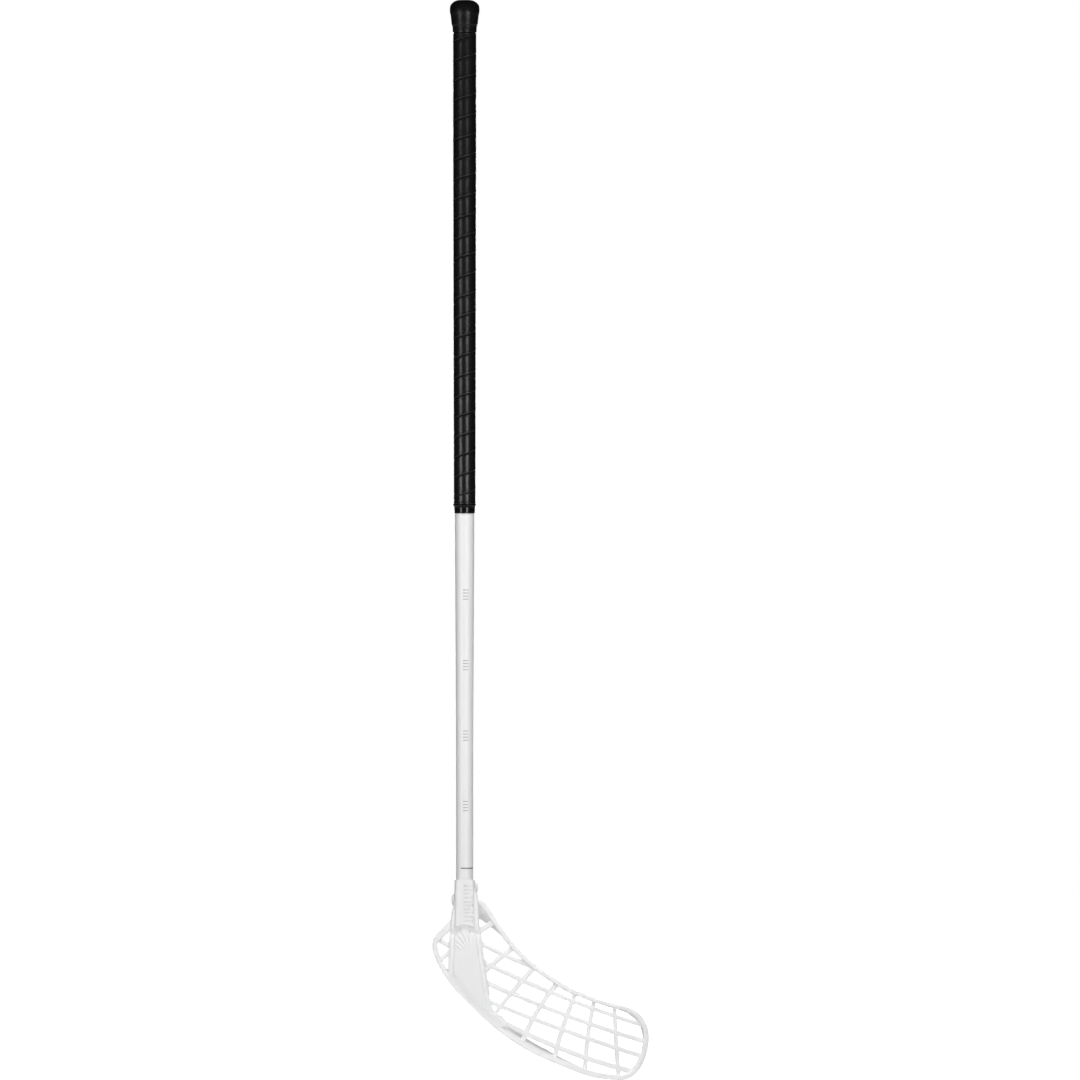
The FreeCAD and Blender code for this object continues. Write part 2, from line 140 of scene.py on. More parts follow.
# Neck of the blade
NECK_TOP = level("blade", 1)
NECK_RADII = (10.5, 11.3)
NECK_SQUARE = 4.0
NECK_STEPS = 200
NECK_ROWS = 120
SOCKET_RADIUS = 9.05
SOCKET_FLOOR = 10.2
SOCKET_MOUTH = 0.5
TRIM = 2.0
FOOT_ARCH = 4.4
LADDER_PITCH = 4.08
LADDER_TOP = 6.5
LADDER_STEPS = 10
LADDER_GROOVE = 1.9
LADDER_BAR = 4.0
LADDER_EDGE = 0.5
LADDER_SUNK = 1.2
LADDER_COLUMNS = 24
LADDER_TURN = math.radians(19)
LADDER_HALF = math.radians(23.5)
BOSS_BASE = 5.0
BOSS_FACE = 13.66
BOSS_ROOT = 10.4
BOSS_EDGE = 3.6
BOSS_FLATTENING = 0.55
BOSS_ROWS = 14

# Wings: reach to the left and to the right of the axis over the drop below the shaft's foot
WING_LEFT = ((-34, -14, -6.5, 6.5, 30), (8.6, 12.2, 13.6, 14.8, 16.6))
WING_RIGHT = ((-34, -28.5, -23, -14, 0, 6.5, 30), (9.5, 12.2, 13.6, 14.4, 14.8, 15.4, 18.6))
WING_DEPTH = 7.5
WING_THIN = 1.5
WING_FADE = (4.0, 30.0)
WING_EDGE = 0.28
WING_ROWS = 96

# Tongue: place of both flanks and depth of the panel over the drop
TONGUE_TOP = 3.5
TONGUE_FOOT = 113.5
TONGUE_LEFT = ((5, 58, 80, 108.8, 113.5), (-15.0, -17.6, -3.0, 28.0, 33.5))
TONGUE_RIGHT = ((5, 51, 87, 99, 101.8, 109.2, 113.5), (15.4, 21.5, 27.3, 31.2, 39.0, 44.2, 50.0))
TONGUE_PANEL = ((4, 101, 113.5), (8.8, 5.8, 4.4))
TONGUE_ROWS = 170
TONGUE_COLUMNS = 140
TONGUE_BEVEL = 4.4
TONGUE_CHAMFER = 2.6
TONGUE_LINE = 1.8
TONGUE_LINE_WIDTH = 1.0
TONGUE_MERGE = (52.0, 64.0)
WEB_REACH = 12.0
HOLLOW_RADIUS = 7.6
HOLLOW_EDGE = 4.0
HOLLOW_REACH = 12.0
FAN_CENTRE = (8.5, 39.0)
FAN_HEIGHT = 0.55
FAN_STEP = 0.2
FAN_TURN = 0.015
FAN_MARGIN = 9.0
FAN_START = 4.0
FAN_FADE = (26.0, 38.0)

# Hook, rim and ribs
SLOPE = math.radians(25)
HOOK_START = 68.0
HOOK_RADIUS = 420.0
RIM_STEPS = 480
RIM_FRONT = 5.0
RIM_EDGE = 0.8
RIM_TUCK = (13.6, 15.6)
RIM_TUCK_DEPTHS = (11.0, 19.0)
RIB_STEPS = 160
RIB_FRONT = 3.1
RIB_EDGE = 0.5
RIB_INSET = 2.2
RIB_TAPER = (60.0, 190.0)
RIB_DEPTHS = (4.7, 3.4)

# Moulding: voxels in millimetres, slivers in metres
VOXEL = 0.55
FILLET_STRENGTH = 0.5
FILLET_ROUNDS = 5
THINNING = 0.48
SLIVER = 3e-6

# Rim: x, drop below the shaft's foot, front width, depth, and how far its walls lean in with depth
RIM = np.array([
    (14.8, -19.7, 4.8, 18.0, 0.98),
    (19.7, -18.4, 4.8, 17.5, 0.93),
    (23.5, -14.6, 4.8, 17.0, 0.88),
    (32.9, 0.2, 4.6, 14.0, 0.50),
    (42.2, 14.9, 4.3, 11.0, 0.05),
    (75.5, 50.0, 4.2, 10.0, 0.0),
    (94.6, 63.4, 4.2, 9.8, 0.03),
    (114.5, 74.8, 4.3, 9.5, 0.06),
    (136.2, 83.1, 4.4, 9.0, 0.12),
    (157.7, 89.8, 4.4, 8.5, 0.18),
    (181.0, 98.0, 4.8, 8.0, 0.40),
    (193.6, 118.8, 5.4, 7.5, 0.05),
    (193.3, 134.0, 5.8, 7.0, -0.28),
    (189.2, 150.0, 5.8, 7.0, -0.26),
    (172.4, 169.3, 5.4, 7.0, -0.15),
    (152.6, 170.0, 5.6, 6.2, -0.05),
    (133.0, 167.0, 6.4, 6.2, 0.02),
    (108.2, 157.9, 6.2, 7.0, 0.22),
    (83.4, 147.8, 4.6, 10.0, 0.62),
    (38.0, 120.7, 4.3, 10.0, 0.85),
    (-2.5, 83.1, 4.3, 10.0, 0.35),
    (-14.3, 69.3, 4.3, 10.0, 0.20),
    (-24.5, 53.8, 4.4, 10.0, 0.10),
    (-31.1, 40.1, 4.5, 10.0, 0.05),
    (-33.7, 27.0, 4.8, 10.0, 0.0),
    (-30.9, 18.4, 6.6, 10.0, 0.01),
    (-22.4, 9.5, 7.0, 10.0, 0.01),
    (-12.4, -0.8, 6.4, 11.0, 0.02),
    (0.0, -11.0, 3.6, 11.0, 0.0),
    (12.0, -19.2, 4.6, 11.0, 0.0),
])

# Ribs: three points of each one's circle, as x and drop, and its width
LONG_RIBS = [
    ((13.6, 24.2), (41.0, 37.6), (74.4, 51.6), 4.3),
    ((14.0, 42.5), (91.5, 77.8), (188.0, 113.2), 4.6),
    ((14.0, 63.0), (79.2, 91.0), (194.5, 131.8), 4.9),
    ((14.0, 82.3), (101.7, 116.3), (190.4, 147.1), 4.9),
    ((29.8, 103.0), (97.8, 135.4), (179.2, 162.7), 5.5),
]
CROSS_RIBS = [
    ((35.5, 0.2), (21.5, 8.8), (11.5, 15.2), 5.9),
    ((53.8, 28.7), (40.9, 38.0), (19.0, 57.3), 5.0),
    ((74.3, 49.9), (49.5, 77.8), (30.0, 102.0), 4.6),
    ((98.3, 67.1), (80.5, 90.9), (59.7, 131.3), 5.0),
    ((117.8, 76.7), (107.9, 101.8), (94.4, 147.3), 4.8),
    ((136.9, 84.1), (132.0, 110.5), (126.9, 161.0), 4.1),
    ((157.7, 90.0), (159.1, 120.5), (162.4, 165.0), 3.8),
    ((-30.6, 20.2), (-21.6, 25.2), (-12.6, 30.6), 4.8),
    ((-27.3, 44.0), (-20.3, 38.5), (-13.3, 32.6), 4.6),
]

# Screws: level, the way out along X and the radius of the boss's foot; the head's brim as radius and depth
# under its face
SCREWS = {"left_blade_screw": (-663.6, -1, 7.8), "right_blade_screw": (-650.5, 1, 5.6)}
SCREW_STEPS = 72
SCREW_HEAD_RADIUS = 3.0
SCREW_HEAD_HEIGHT = 2.0
SCREW_BRIM = np.array([
    (2.2, 0.03), (2.6, 0.18), (2.88, 0.5),
    (SCREW_HEAD_RADIUS, 0.95), (SCREW_HEAD_RADIUS, 1.85), (2.85, SCREW_HEAD_HEIGHT),
])
SCREW_FLAT = 2.0
SCREW_FLAT_ROWS = 26
SCREW_RADIUS = 1.5
SCREW_CORE = 1.1
SCREW_LENGTH = 6.0
SCREW_ROWS = 90
SCREW_TIP = 1.6
SCREW_POINT = 0.12
SCREW_CLEARANCE = 0.08
HEAD_CLEARANCE = 0.3
HOLE_OVERRUN = 3.0
THREAD_PITCH = 1.1
THREAD_GAIN = 1.6
THREAD_FLOOR = 0.6
RECESS_HALF = 0.45
RECESS_REACH = 1.7
RECESS_DEPTH = 1.2
RECESS_EDGE = 0.12
RECESS_FADE = (2.7, 0.2)

# Marks on the lacquer, in metres and in radians round the shaft; a pair is a middle and the reach beside
# it. The lift keeps the levels from which the rows of ticks are counted above 0.
TICK_LIFT = 10.0
TICK_ROW_PITCH = 0.074
TICK_ROW_SPAN = (0.037, 0.0062)
TICK_PITCH = 0.0032
TICK_WIDTH = 0.0009
TICK_TURN = (0.12, 0.3)
TICK_LEVELS = (-0.45, 0.165)
LINE_LEVEL = (-0.6299, 0.0005)
LINE_TURN = (0.4, 0.85)

# Stretches in metres over which a tone changes, up the shaft and out along the blade; the paler tone towards
# the blade's tip is painted light
SHAFT_TONE_LEVELS = (-0.6, -0.35)
BLADE_TIP_LIGHT_REACH = (0.03, 0.16)

# Soft boxes: place, target, size, power in watts and whether they show as reflections
SOFT_BOXES = {
    "left_box": ((-1.443, -1.660, -0.525), (0, 0, -0.525), (0.62, 0.95), 11.8, True),
    "right_box": ((1.016, -1.951, -0.62), (0, 0, -0.62), (0.62, 0.95), 16.0, True),
    "top_box": ((0.1, -1.0, 1.2), (0.05, 0, -0.5), (1.2, 0.8), 26.5, False),
    "back_box": ((0.05, 2.3, -0.35), (0.05, 0, -0.35), (0.8, 1.3), 34.0, True),
}

# Floor and backdrop: the floor's glow to the stick and to the camera, and the backdrop's light to the stick
# from in front and from behind, with the directions along Y between which it falls off
FLOOR_REACH = 6.0
FLOOR_GAP = 0.001
FLOOR_GLOW = (0.12, 1.0)
BACKDROP_LIGHT = (0.15, 0.02)
BACKDROP_FALL = (-1.0, 0.4)

# Camera, in metres; the sensor in millimetres
CAMERA_DISTANCE = 12.0
CAMERA_SENSOR = 36.0
FRAME_WIDTH = 1.134
FRAME_MIDDLE = (0.0791, -0.2855)


# Meshes

def skin(rings, closed=False):
    """Quads between neighbouring rings of points; an open run is closed by a face on each end ring. Gives the
    points and blocks of faces, where a face is a row of vertex numbers."""
    count, around = rings.shape[:2]
    index = np.arange(count * around).reshape(count, around)
    near = index if closed else index[:-1]
    far = np.roll(index, -1, 0) if closed else index[1:]
    quads = np.stack([near, np.roll(near, -1, 1), np.roll(far, -1, 1), far], axis=-1)
    blocks = [quads.reshape(-1, 4)]
    if not closed:
        blocks += [index[:1, ::-1], index[-1:]]
    return rings.reshape(-1, 3), blocks


def new_piece(name, skins):
    """One object from several skins, with doubles merged and every face turned outwards."""
    vertices = np.concatenate([points for points, blocks in skins]) * MM
    polygons = []
    start = 0
    for points, blocks in skins:
        for block in blocks:
            polygons += (block + start).tolist()
        start += len(points)
    mesh = bpy.data.meshes.new(name)
    mesh.from_pydata(vertices.tolist(), [], polygons)
    shape = bmesh.new()
    shape.from_mesh(mesh)
    bmesh.ops.remove_doubles(shape, verts=shape.verts, dist=SAME_POINT)
    bmesh.ops.recalc_face_normals(shape, faces=shape.faces)
    shape.to_mesh(mesh)
    shape.free()
    mesh.shade_smooth()
    piece = bpy.data.objects.new(name, mesh)
    bpy.context.scene.collection.objects.link(piece)
    return piece


def settle(piece):
    """Keeps what a piece's modifiers make of it as its mesh."""
    bpy.context.view_layer.update()
    depsgraph = bpy.context.evaluated_depsgraph_get()
    mesh = bpy.data.meshes.new_from_object(piece.evaluated_get(depsgraph))
    piece.modifiers.clear()
    piece.data = mesh


def cut(piece, *tools):
    """Takes tools out of a piece, each a list of closed skins that lie apart."""
    for number, skins in enumerate(tools):
        tool = new_piece(f"{piece.name}_cutter_{number}", skins)
        hole = piece.modifiers.new("hole", "BOOLEAN")
        hole.operation = "DIFFERENCE"
        hole.solver = "MANIFOLD"
        hole.object = tool
        settle(piece)
        bpy.data.objects.remove(tool)


def mend(piece):
    """Splits a piece's faces into triangles and takes out the slivers among them."""
    shape = bmesh.new()
    shape.from_mesh(piece.data)
    bmesh.ops.triangulate(shape, faces=shape.faces)
    bmesh.ops.dissolve_degenerate(shape, edges=shape.edges, dist=SLIVER)
    bmesh.ops.triangulate(shape, faces=shape.faces)
    shape.to_mesh(piece.data)
    shape.free()


def crisp(piece, degrees):
    """Smooth shading with an edge kept sharp where its faces turn by more than an angle."""
    piece.data.shade_smooth()
    piece.data.set_sharp_from_angle(angle=math.radians(degrees))


def dress(piece, body, node, material):
    """Lets a piece stand for a CAD node and move with its body."""
    piece.data.materials.clear()
    piece.data.materials.append(material)
    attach(piece, body)
    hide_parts(node)


# Curves and profiles

def shaft_radius(z):
    """Outside radius of the tube: straight lines between the levels where its taper changes."""
    return np.interp(z, SHAFT_LEVELS, SHAFT_RADII)


def arc(start, middle, end, count):
    """Points along the circle through three points, at even angles."""
    a, b, c = (np.array(point, float) for point in (start, middle, end))
    centre = np.linalg.solve(2 * np.array([b - a, c - a]), [b @ b - a @ a, c @ c - a @ a])
    angles = np.unwrap([math.atan2(y, x) for x, y in (a - centre, b - centre, c - centre)])
    turn = np.linspace(angles[0], angles[2], count)
    return centre + np.linalg.norm(a - centre) * np.stack([np.cos(turn), np.sin(turn)], 1)


def rounded(corners, radius, steps=5):
    """Closed outline with every corner replaced by a quadratic curve that starts and ends a radius from it,
    or less than half an edge from it where the edge is short."""
    corners = np.array(corners, float)
    back = np.roll(corners, 1, 0) - corners
    ahead = np.roll(corners, -1, 0) - corners
    lengths = [np.maximum(np.linalg.norm(side, axis=1, keepdims=True), 1e-9) for side in (back, ahead)]
    reach = np.minimum(radius, 0.45 * np.minimum(*lengths))
    start = (corners + back / lengths[0] * reach)[:, None]
    end = (corners + ahead / lengths[1] * reach)[:, None]
    t = np.linspace(0, 1, steps)[None, :, None]
    return ((1 - t) ** 2 * start + 2 * t * (1 - t) * corners[:, None] + t ** 2 * end).reshape(-1, 2)


def turned(outline, steps=TURN_STEPS):
    """Closed outline of (radius, level) points carried round the shaft's axis."""
    angle = np.arange(steps)[:, None] * 2 * math.pi / steps
    radius, z = outline[:, 0], outline[:, 1]
    rings = np.stack([radius * np.cos(angle), radius * np.sin(angle), z + 0 * angle], axis=-1)
    return skin(rings, closed=True)


def along_x(outline, z, way, steps=48):
    """Open outline of (distance, radius) points, from axis to axis, carried round a screw's axis."""
    angle = np.arange(steps)[None] * 2 * math.pi / steps
    distance, radius = outline[:, :1], outline[:, 1:]
    rings = [way * distance + 0 * angle, radius * np.cos(angle), z + radius * np.sin(angle)]
    return skin(np.stack(rings, axis=-1))


def closed_spline(points, count):
    """Smooth closed curve: the periodic cubic spline through the points with chord lengths between its
    knots. Gives the curve's points and, for each, the last knot's number plus its share of the way to the
    next."""
    ahead = np.roll(points, -1, 0) - points
    span = np.linalg.norm(ahead, axis=1)
    slope = ahead / span[:, None]
    size = len(points)
    before = np.roll(span, 1)
    system = np.diag(2 * (before + span))
    rows = np.arange(size)
    system[rows, (rows + 1) % size] += span
    system[rows, (rows - 1) % size] += before
    bend = np.linalg.solve(system, 6 * (slope - np.roll(slope, 1, 0)))
    knots = np.concatenate([[0], np.cumsum(span)])
    place = np.arange(count) * knots[-1] / count
    i = np.searchsorted(knots, place, "right") - 1
    j = (i + 1) % size
    h = span[i][:, None]
    u = (place - knots[i])[:, None]
    v = h - u
    curve = (bend[i] * v ** 3 + bend[j] * u ** 3) / (6 * h)
    curve += (points[i] / h - bend[i] * h / 6) * v + (points[j] / h - bend[j] * h / 6) * u
    return curve, i + (u / h)[:, 0]


def section(width, depth, radius, steps=5):
    """Rounded rectangle, as (across, depth) points about its middle."""
    a, b = width / 2, depth / 2
    return rounded([(-a, -b), (a, -b), (a, b), (-a, b)], radius, steps)


def smooth_step(low, high, value):
    """0 up to low, 1 from high on, and 3t^2 - 2t^3 between them; turned round where low is above high."""
    t = np.clip((value - low) / (high - low), 0, 1)
    return t * t * (3 - 2 * t)


# Shaft, grip, knob and collar

def make_shaft():
    """Tapered tube: its outside and its bore as one outline, carried round the axis, with drilled screw
    holes."""
    outside = np.stack([SHAFT_RADII, SHAFT_LEVELS], 1)
    inside = (outside - [SHAFT_WALL, 0])[::-1]
    outline = rounded(np.concatenate([outside, inside]), SHAFT_EDGE, 4)
    piece = new_piece("shaft_tube", [turned(outline)])
    cut(piece, screw_holes())
    crisp(piece, 30)
    return piece


def make_grip():
    """Wound tape: a flat section whose raised lower edge laps over the tucked upper edge of the turn below,
    carried up a helix. A point's level is the turn's lower edge plus a share of its width plus a distance."""
    crown = TAPE_THICKNESS + TAPE_CROWN * np.cos(2 * math.pi * TAPE_FACE)
    share = np.concatenate([np.zeros(len(TAPE_EDGE)), TAPE_FACE, np.ones(len(TAPE_TUCK)), TAPE_FACE[::-1]])
    shift = np.concatenate([TAPE_EDGE[:, 0], 0 * TAPE_FACE, TAPE_TUCK[:, 0], 0 * TAPE_FACE])
    height = np.concatenate([TAPE_EDGE[:, 1], crown, TAPE_TUCK[:, 1], 0 * TAPE_FACE + TAPE_UNDERSIDE])
    length = TAPE_HIGH - TAPE_LOW
    first = -(TAPE_WIDTH - TAPE_END_WIDTH) / TAPE_PITCH
    last = (length - TAPE_END_WIDTH) / TAPE_PITCH
    turn = np.linspace(first, last, int((last - first) * TAPE_STEPS))[:, None]
    rise = TAPE_LOW + TAPE_PITCH * turn
    low = np.maximum(rise, TAPE_LOW)
    high = np.minimum(rise + TAPE_WIDTH, TAPE_HIGH)
    z = low + share * (high - low) + shift * np.minimum((high - low) / TAPE_FULL_EDGE, 1)
    z = np.clip(z, TAPE_LOW, TAPE_HIGH)
    radius = shaft_radius(z) + TAPE_CLEARANCE + height
    angle = TAPE_START_ANGLE + 2 * math.pi * turn
    rings = np.stack([radius * np.cos(angle), radius * np.sin(angle), z], axis=-1)
    piece = new_piece("grip_wrap", [skin(rings)])
    store_uv(piece, 2 * math.pi * radius.mean() * turn + 0 * z, z - rise)
    crisp(piece, 50)
    return piece


def store_uv(piece, along, across):
    """Distance along the tape and across it, in millimetres, as the piece's UV map."""
    flat = np.stack([along.ravel(), across.ravel()], 1)
    corner = np.zeros(len(piece.data.loops), int)
    piece.data.loops.foreach_get("vertex_index", corner)
    layer = piece.data.uv_layers.new(name="tape")
    layer.data.foreach_set("uv", flat[corner].astype(np.float32).ravel())


def make_knob():
    """Rubber butt knob: the flared outside, the skirt over the tube and the hollow plug in its bore as one
    outline carried round the axis. Two circles make the dome and the bulge."""
    dome = arc(*KNOB_DOME, 14)
    bulge = arc(*KNOB_BULGE, 12)[1:]
    outside = np.concatenate([[(0, 0)], dome, bulge, KNOB_FLARE]) + [0, KNOB_TOP]
    seat = SHAFT_TOP + SEAT_GAP
    inside = np.array([
        (SKIRT_LIP, TAPE_HIGH + FIT_GAP),
        (SKIRT_RADIUS, TAPE_HIGH + FIT_GAP),
        (SKIRT_RADIUS, seat),
        (PLUG_RADIUS, seat),
        (PLUG_RADIUS, PLUG_FOOT + PLUG_CHAMFER),
        (PLUG_RADIUS - PLUG_CHAMFER, PLUG_FOOT),
        (PLUG_RADIUS - PLUG_WALL, PLUG_FOOT),
        (PLUG_RADIUS - PLUG_WALL, seat),
        (0, seat),
    ])
    outline = rounded(np.concatenate([outside, inside]), KNOB_EDGE, 4)
    piece = new_piece("butt_knob", [turned(outline)])
    crisp(piece, 40)
    return piece


def make_collar():
    """Finishing collar: a rounded lip and a thin sleeve as one outline carried round the axis."""
    bore = [(shaft_radius(z) + COLLAR_CLEARANCE, z) for z in (COLLAR_FOOT, COLLAR_TOP)]
    under = COLLAR_TOP - LIP_HEIGHT
    crest = (LIP_RADIUS, COLLAR_TOP - LIP_HEIGHT / 2)
    lip = arc((LIP_TOP_RADIUS, COLLAR_TOP), crest, (LIP_FOOT_RADIUS, under), 14)
    sleeve = [(radius, under - below) for radius, below in SLEEVE] + [(SLEEVE_FOOT_RADIUS, COLLAR_FOOT)]
    outline = rounded(np.concatenate([bore, lip, sleeve]), COLLAR_EDGE, 4)
    piece = new_piece("tape_collar", [turned(outline)])
    crisp(piece, 45)
    return piece


# Blade

def blade_place(plane, depth, front):
    """Place of points given by (x, drop) and by depth behind the middle of the blade's sheet. The sheet is
    flat at the heel and bends back on a circle after the hook's start; depth runs along the circle's radius
    from the outline on the piece's front."""
    x, drop = plane[..., 0], plane[..., 1]
    past = np.maximum(x * math.cos(SLOPE) + drop * math.sin(SLOPE) - HOOK_START, 0)
    lean = past / HOOK_RADIUS
    face = np.sqrt(1 - lean ** 2)
    y = HOOK_RADIUS * (1 - face) + depth * face
    along = (front - depth) * lean
    return np.stack([x + along * math.cos(SLOPE), y, SHAFT_FOOT - drop - along * math.sin(SLOPE)], axis=-1)


def outline_normals(curve, closed):
    """Unit normals in the outline's plane: the tangent turned by a quarter to the inside of the rim's run."""
    if closed:
        tangent = np.roll(curve, -1, 0) - np.roll(curve, 1, 0)
    else:
        tangent = np.gradient(curve, axis=0)
    tangent /= np.linalg.norm(tangent, axis=1, keepdims=True)
    return np.stack([-tangent[:, 1], tangent[:, 0]], 1)


def rim_skin():
    """Rim: a rectangle with rounded edges of one size, carried round the closed outline. Its width, depth and
    lean change along the way, and the lean moves each point inwards in step with its depth behind the front
    face. Beside the neck the depth is held back, so that the rim's back runs into the wing."""
    curve, share = closed_spline(RIM[:, :2], RIM_STEPS)
    inward = outline_normals(curve, closed=True)[:, None]
    loop = np.concatenate([RIM, RIM[:1]])
    knots = np.arange(len(loop))
    width, depth, lean = (np.interp(share, knots, loop[:, column])[:, None] for column in (2, 3, 4))
    square = section(2, 2, 0.5, 6)
    corner = (np.sign(square) + 1) / 2
    bend = (square - np.sign(square)) * 2 * RIM_EDGE
    behind = corner[:, 1] * depth + bend[:, 1]
    across = corner[:, 0] * width + bend[:, 0] + lean * behind
    plane = curve[:, None] + inward * across[..., None]
    behind = np.minimum(behind, np.interp(plane[..., 0], RIM_TUCK, RIM_TUCK_DEPTHS))
    return skin(blade_place(plane, behind - RIM_FRONT, -RIM_FRONT), closed=True), curve


def within(points, outline):
    """Whether each point lies inside a closed outline: an odd number of its edges pass to the point's
    right."""
    x, y = points[:, None, 0], points[:, None, 1]
    ends = np.roll(outline, -1, 0)
    spans = (outline[:, 1] > y) != (ends[:, 1] > y)
    rise = np.where(ends[:, 1] == outline[:, 1], 1, ends[:, 1] - outline[:, 1])
    meets = outline[:, 0] + (y - outline[:, 1]) / rise * (ends[:, 0] - outline[:, 0])
    return (spans & (meets > x)).sum(1) % 2 == 1


def rib_skin(rib, fence):
    """Rib: a rounded bar carried along the circle through three points, cut off inside the rim. It gets
    shallower towards the tip."""
    *points, width = rib
    centre = arc(*points, RIB_STEPS)
    centre = centre[within(centre, fence)]
    side = outline_normals(centre, closed=False)[:, None]
    bar = section(width, 2, RIB_EDGE)
    plane = centre[:, None] + side * bar[:, 0, None]
    depth = np.interp(centre[:, :1], RIB_TAPER, RIB_DEPTHS)
    return skin(blade_place(plane, (bar[:, 1] + 1) / 2 * depth - RIB_FRONT, -RIB_FRONT))


def neck_radius(z):
    """Outside radius of the neck's cone at a level."""
    return np.interp(z, [SHAFT_FOOT - SOCKET_FLOOR, NECK_TOP], NECK_RADII[::-1])


def neck_bulge(angle):
    """How far the neck's section, a superellipse, stands out at an angle: (|cos|^n + |sin|^n)^(-1/n)."""
    powers = np.abs(np.cos(angle)) ** NECK_SQUARE + np.abs(np.sin(angle)) ** NECK_SQUARE
    return powers ** (-1 / NECK_SQUARE)


def neck_foot(x):
    """Drop of the neck's foot across its front: lowest at the sides, with an arch that is 1 - (x/r)^2."""
    return SOCKET_FLOOR - FOOT_ARCH * np.maximum(1 - (x / NECK_RADII[1]) ** 2, 0)


def barrel_skin():
    """Neck: a cone round the shaft whose foot rises to an arch in front and behind. It starts above its top,
    where the socket's cutter trims it."""
    angle = np.arange(NECK_STEPS)[None] * 2 * math.pi / NECK_STEPS
    share = np.linspace(0, 1, NECK_ROWS)[:, None]
    top = NECK_TOP + TRIM
    foot = SHAFT_FOOT - neck_foot(NECK_RADII[1] * neck_bulge(angle) * np.cos(angle))
    z = top + (foot - top) * share
    radius = neck_radius(z) * neck_bulge(angle)
    rings = np.stack([radius * np.cos(angle), radius * np.sin(angle), z], axis=-1)
    ends = [0 * ring + [0, 0, ring[..., 2].mean()] for ring in (rings[:1], rings[-1:])]
    return skin(np.concatenate([ends[0], rings, ends[1]]))


def ladder_skins():
    """Ladder of grooves in front of the neck: a rounded bar on each step's level, carried round part of the
    neck with its floor a little under the neck's surface."""
    angle = LADDER_TURN + np.linspace(-LADDER_HALF, LADDER_HALF, LADDER_COLUMNS)[:, None]
    bar = section(LADDER_GROOVE, LADDER_BAR, LADDER_EDGE)
    skins = []
    for step in range(LADDER_STEPS):
        z = NECK_TOP - LADDER_TOP - LADDER_PITCH * step
        radius = neck_radius(z) * neck_bulge(angle) - LADDER_SUNK + bar[:, 1] + LADDER_BAR / 2
        rings = [radius * np.sin(angle), -radius * np.cos(angle), z + bar[:, 0] + 0 * angle]
        skins.append(skin(np.stack(rings, axis=-1)))
    return skins


def wing_skin():
    """Side wings of the neck: a rounded oblong that widens downwards, one ring for each level. Below the neck
    it thins out along the tongue's flanks."""
    drop = np.linspace(WING_LEFT[0][0], WING_LEFT[0][-1], WING_ROWS)[:, None]
    left = np.interp(drop, *WING_LEFT)
    right = np.interp(drop, *WING_RIGHT)
    depth = WING_DEPTH + (WING_THIN - WING_DEPTH) * smooth_step(*WING_FADE, drop)
    oblong = section(2, 2, WING_EDGE, 6)
    x = (right - left) / 2 + oblong[:, 0] * (right + left) / 2
    y = oblong[:, 1] * depth
    return skin(np.stack([x, y, SHAFT_FOOT - drop + 0 * x], axis=-1))


def tongue_skin():
    """Tongue: at each level a flat panel in front and behind with bevelled flanks, and a web to the lower rim
    at its foot. A groove, a bell curve of the distance to the flank, parts panel and flank. Under the neck's
    arch its front is hollow, a part of a cylinder that fades into the panel. In front, ridges fan up to the
    neck from a point below: a cosine of the angle about it that fades downwards."""
    drop = np.linspace(TONGUE_TOP, TONGUE_FOOT, TONGUE_ROWS)[:, None]
    left = np.interp(drop, *TONGUE_LEFT)
    right = np.interp(drop, *TONGUE_RIGHT)
    half = (right - left) / 2
    across = np.linspace(-1, 1, TONGUE_COLUMNS)
    x = (left + right) / 2 + half * across
    inside = half * (1 - np.abs(across))
    edge = np.clip(inside / TONGUE_BEVEL, 0, 1)
    merged = smooth_step(*TONGUE_MERGE, drop) * (across < 0)
    line = TONGUE_LINE * np.exp(-((inside - TONGUE_BEVEL) / TONGUE_LINE_WIDTH) ** 2) * (1 - merged)
    edge = edge + (1 - edge) * merged
    panel = np.interp(drop, *TONGUE_PANEL)
    panel = panel + (RIM_FRONT - panel) * merged * (1 - smooth_step(0, WEB_REACH, half * (1 + across)))
    hollow = np.sqrt(np.maximum(HOLLOW_RADIUS ** 2 - x ** 2, HOLLOW_EDGE ** 2))
    below = drop - neck_foot(x)
    panel = hollow + (panel - hollow) * smooth_step(0, HOLLOW_REACH, below)
    fan = np.arctan2(x - FAN_CENTRE[0], FAN_CENTRE[1] - drop)
    ridges = FAN_HEIGHT * np.cos(2 * math.pi * (fan - FAN_TURN) / FAN_STEP)
    ridges = ridges * smooth_step(TONGUE_BEVEL, FAN_MARGIN, inside)
    ridges = ridges * smooth_step(0, FAN_START, below) * (1 - smooth_step(*FAN_FADE, drop))
    back = panel - TONGUE_CHAMFER * (1 - edge) - line
    x = np.concatenate([x, x[:, ::-1]], axis=1)
    y = np.concatenate([-back - ridges, back[:, ::-1]], axis=1)
    return skin(np.stack([x, y, SHAFT_FOOT - drop + 0 * x], axis=-1))


def boss_skin(z, way, foot):
    """Screw boss: a low bell carried round the screw's axis, level at its foot and at its face. It is
    flattened along Y at its foot, where it runs out into the neck."""
    radius = np.linspace(foot, BOSS_EDGE, BOSS_ROWS)
    bell = BOSS_FACE + (BOSS_ROOT - BOSS_FACE) * smooth_step(BOSS_EDGE, foot, radius)
    base = [(BOSS_BASE, 0), (BOSS_BASE, foot)]
    outline = np.concatenate([base, np.stack([bell, radius], 1), [(BOSS_FACE, 0)]])
    points, blocks = along_x(outline, z, way)
    points[:, 1] *= np.interp(np.abs(points[:, 0]), [BOSS_ROOT, BOSS_FACE], [BOSS_FLATTENING, 1])
    return points, blocks


